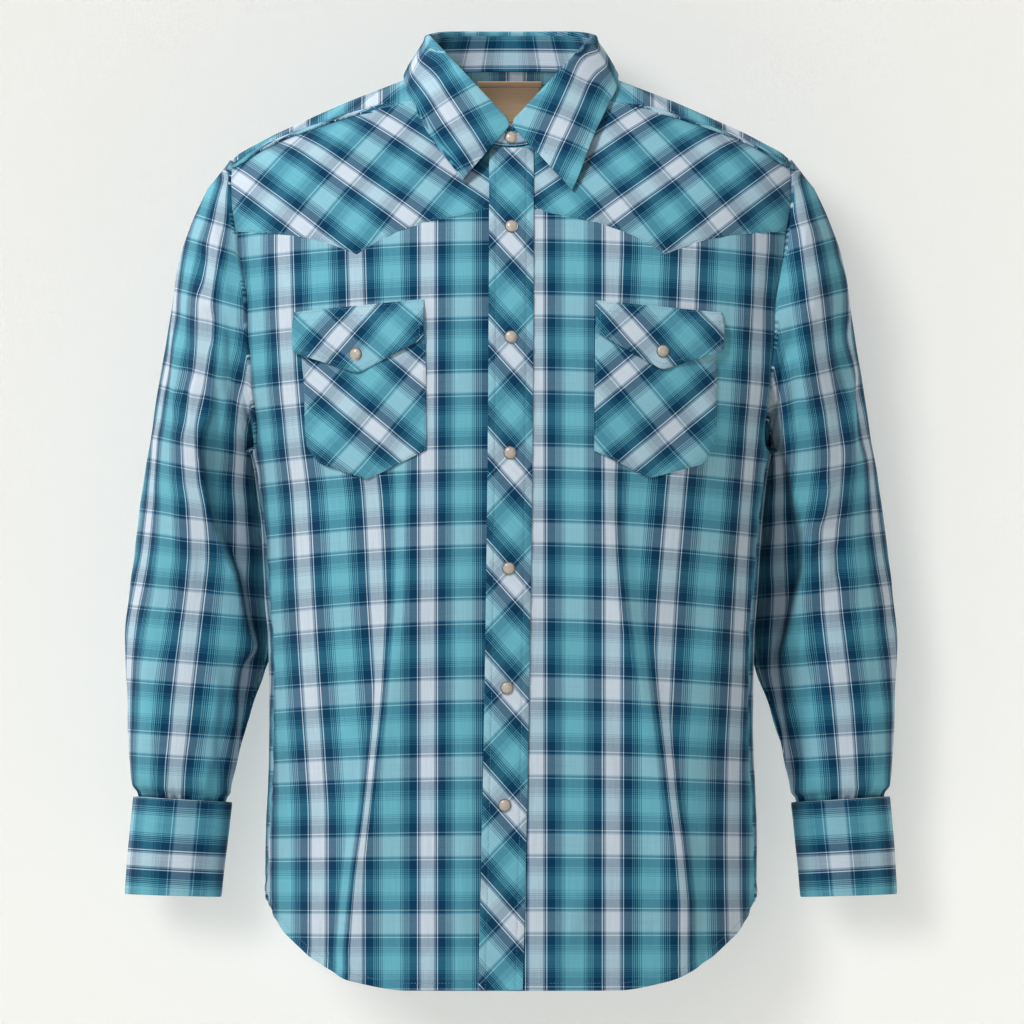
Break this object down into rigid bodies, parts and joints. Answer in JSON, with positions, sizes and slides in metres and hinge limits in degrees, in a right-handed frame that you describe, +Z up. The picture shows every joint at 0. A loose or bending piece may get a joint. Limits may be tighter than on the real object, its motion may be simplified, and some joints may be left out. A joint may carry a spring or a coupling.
{
  "type": "western snap shirt",
  "caption": "Long-sleeved plaid western shirt with pointed yokes, flap pockets and pearl snaps, filled out as worn.",
  "frame": {"origin": "middle of the wearer's neck, level with the sides of the neckline", "axes": "+X to the wearer's left, +Y to the wearer's back, +Z up"},
  "size_m": [0.6626, 0.2727, 0.8229],
  "materials": {
    "shirting": "plain-woven cotton in a teal, navy and white plaid",
    "pearl": "pearly cap in a thin metal rim",
    "label": "bare tan woven label",
    "tape": "bare cream woven tab"
  },
  "bodies": {
    "root": {"front_left": "shirting", "front_right": "shirting", "front_yoke_left": "shirting", "front_yoke_right": "shirting", "back": "shirting", "back_yoke": "shirting", "placket": "shirting", "sleeve_left": "shirting", "sleeve_right": "shirting", "sleeve_placket_left": "shirting", "sleeve_placket_right": "shirting", "cuff_left": "shirting", "cuff_right": "shirting", "collar_stand": "shirting", "collar_leaf": "shirting", "pocket_left": "shirting", "pocket_right": "shirting", "pocket_flap_left": "shirting", "pocket_flap_right": "shirting", "snap_stand": "pearl", "snap_front_1": "pearl", "snap_front_2": "pearl", "snap_front_3": "pearl", "snap_front_4": "pearl", "snap_front_5": "pearl", "snap_front_6": "pearl", "snap_flap_left": "pearl", "snap_flap_right": "pearl", "snap_cuff_left_1": "pearl", "snap_cuff_left_2": "pearl", "snap_cuff_right_1": "pearl", "snap_cuff_right_2": "pearl", "neck_label": "label", "care_label": "tape"}
  },
  "joints": []
}
